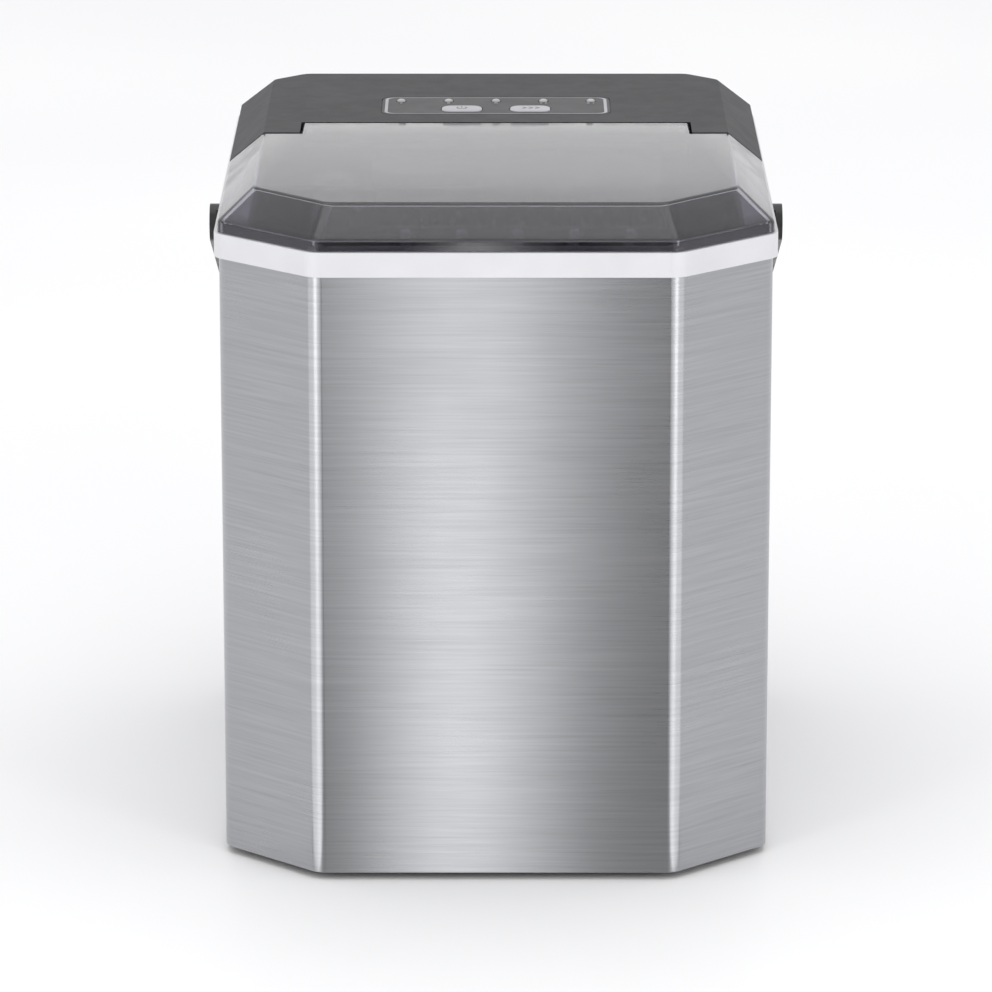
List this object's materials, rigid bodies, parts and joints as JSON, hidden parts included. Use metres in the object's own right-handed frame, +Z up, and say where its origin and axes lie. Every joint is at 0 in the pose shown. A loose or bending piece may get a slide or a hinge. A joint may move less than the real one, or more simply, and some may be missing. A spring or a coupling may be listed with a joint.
{
  "type": "ice maker",
  "caption": "Countertop ice maker with an eight-sided steel body, a hinged smoked lid over the basket, a rear control panel and a swinging carrying handle.",
  "frame": {"origin": "centre of the bounding box, on the surface that the feet stand on", "axes": "+Z up, front of the machine towards -Y, +X to the right seen from the front"},
  "size_m": [0.2436, 0.308, 0.2833],
  "materials": {
    "brushed_steel": "satin, fine horizontal brushing",
    "white_plastic": "smooth moulded white",
    "grey_plastic": "smooth moulded grey",
    "smoke_lid": "clear smoked plastic, polished",
    "dark_plastic": "fine moulded grain",
    "black_plastic": "satin black moulding",
    "panel_film": "printed membrane film",
    "key_grey": "satin grey",
    "lamp_lens": "frosted lens",
    "board_green": "solder mask",
    "rubber": "matt rubber",
    "nickel": "nickel plate",
    "copper": "drawn copper tube",
    "aluminium": "stamped fins",
    "black_enamel": "black enamel on steel",
    "zinc_steel": "zinc plated steel",
    "silicone": "milky silicone",
    "clear_plastic": "clear moulded plastic"
  },
  "bodies": {
    "cabinet": {"base_pan": "black_plastic", "capillary_tube": "copper", "compressor": "black_enamel", "compressor_bracket": "zinc_steel", "compressor_grommet_front": "rubber", "compressor_grommet_left": "rubber", "compressor_grommet_right": "rubber", "condenser": "aluminium", "control_board": "board_green", "control_overlay": "panel_film", "defrost_tube": "copper", "discharge_tube": "copper", "drain_tube": "silicone", "evaporator": "nickel", "fan_motor": "zinc_steel", "fan_shroud": "black_plastic", "filter_drier": "copper", "foot_front_left": "rubber", "foot_front_right": "rubber", "foot_rear_left": "rubber", "foot_rear_right": "rubber", "handle_pivot_left": "zinc_steel", "handle_pivot_right": "zinc_steel", "handle_seat_left": "white_plastic", "handle_seat_right": "white_plastic", "hot_gas_tube": "copper", "ice_guide": "grey_plastic", "ice_sensor_left": "black_plastic", "ice_sensor_right": "black_plastic", "inlet_gland": "rubber", "inner_liner": "grey_plastic", "lid_pin_left": "zinc_steel", "lid_pin_right": "zinc_steel", "light_guide": "lamp_lens", "liquid_tube": "copper", "power_board": "board_green", "pump_housing": "black_plastic", "rear_cover": "dark_plastic", "rear_panel": "dark_plastic", "rear_screw_lower_left": "zinc_steel", "rear_screw_lower_right": "zinc_steel", "rear_screw_upper_left": "zinc_steel", "rear_screw_upper_right": "zinc_steel", "solenoid_valve": "black_enamel", "steel_wrap": "brushed_steel", "suction_tube": "copper", "top_frame": "white_plastic", "tray_motor": "grey_plastic", "water_spout": "silicone"},
    "lid": {"lid": "smoke_lid"},
    "handle": {"handle": "black_plastic"},
    "button_power": {"button_power": "key_grey"},
    "button_select": {"button_select": "key_grey"},
    "ice_basket": {"ice_basket": "clear_plastic"},
    "water_tray": {"water_tray": "grey_plastic"},
    "fan_rotor": {"fan_rotor": "black_plastic"},
    "pump_impeller": {"pump_impeller": "white_plastic"},
    "drain_plug": {"drain_plug": "rubber"}
  },
  "joints": [
    {"name": "lid_hinge", "type": "hinge", "parent": "cabinet", "child": "lid", "pos_m": [0, 0.01495, 0.2764], "axis": [-1, 0, 0], "range_deg": [0, 100]},
    {"name": "handle_swing", "type": "hinge", "parent": "cabinet", "child": "handle", "pos_m": [0, -0.00505, 0.2453], "axis": [1, 0, 0], "range_deg": [0, 222]},
    {"name": "button_power_press", "type": "slide", "parent": "cabinet", "child": "button_power", "axis": [0, 0, -1], "range_m": [0, 0.0006], "stiffness_N_per_m": 400},
    {"name": "button_select_press", "type": "slide", "parent": "cabinet", "child": "button_select", "axis": [0, 0, -1], "range_m": [0, 0.0006], "stiffness_N_per_m": 400},
    {"name": "basket_lift", "type": "slide", "parent": "cabinet", "child": "ice_basket", "axis": [0, 0, 1], "range_m": [0, 0.018]},
    {"name": "tray_tilt", "type": "hinge", "parent": "cabinet", "child": "water_tray", "pos_m": [0.0093, 0.00695, 0.247], "axis": [1, 0, 0], "range_deg": [0, 60]},
    {"name": "fan_spin", "type": "hinge", "parent": "cabinet", "child": "fan_rotor", "pos_m": [-0.05, 0.07945, 0.0685], "axis": [0, 1, 0], "continuous": true},
    {"name": "pump_spin", "type": "hinge", "parent": "cabinet", "child": "pump_impeller", "pos_m": [-0.062, 0.00595, 0.1205], "axis": [0, 0, 1], "continuous": true},
    {"name": "drain_plug_turn", "type": "hinge", "parent": "cabinet", "child": "drain_plug", "pos_m": [0, -0.13605, 0.0006], "axis": [0, 0, -1], "range_deg": [0, 180]}
  ]
}
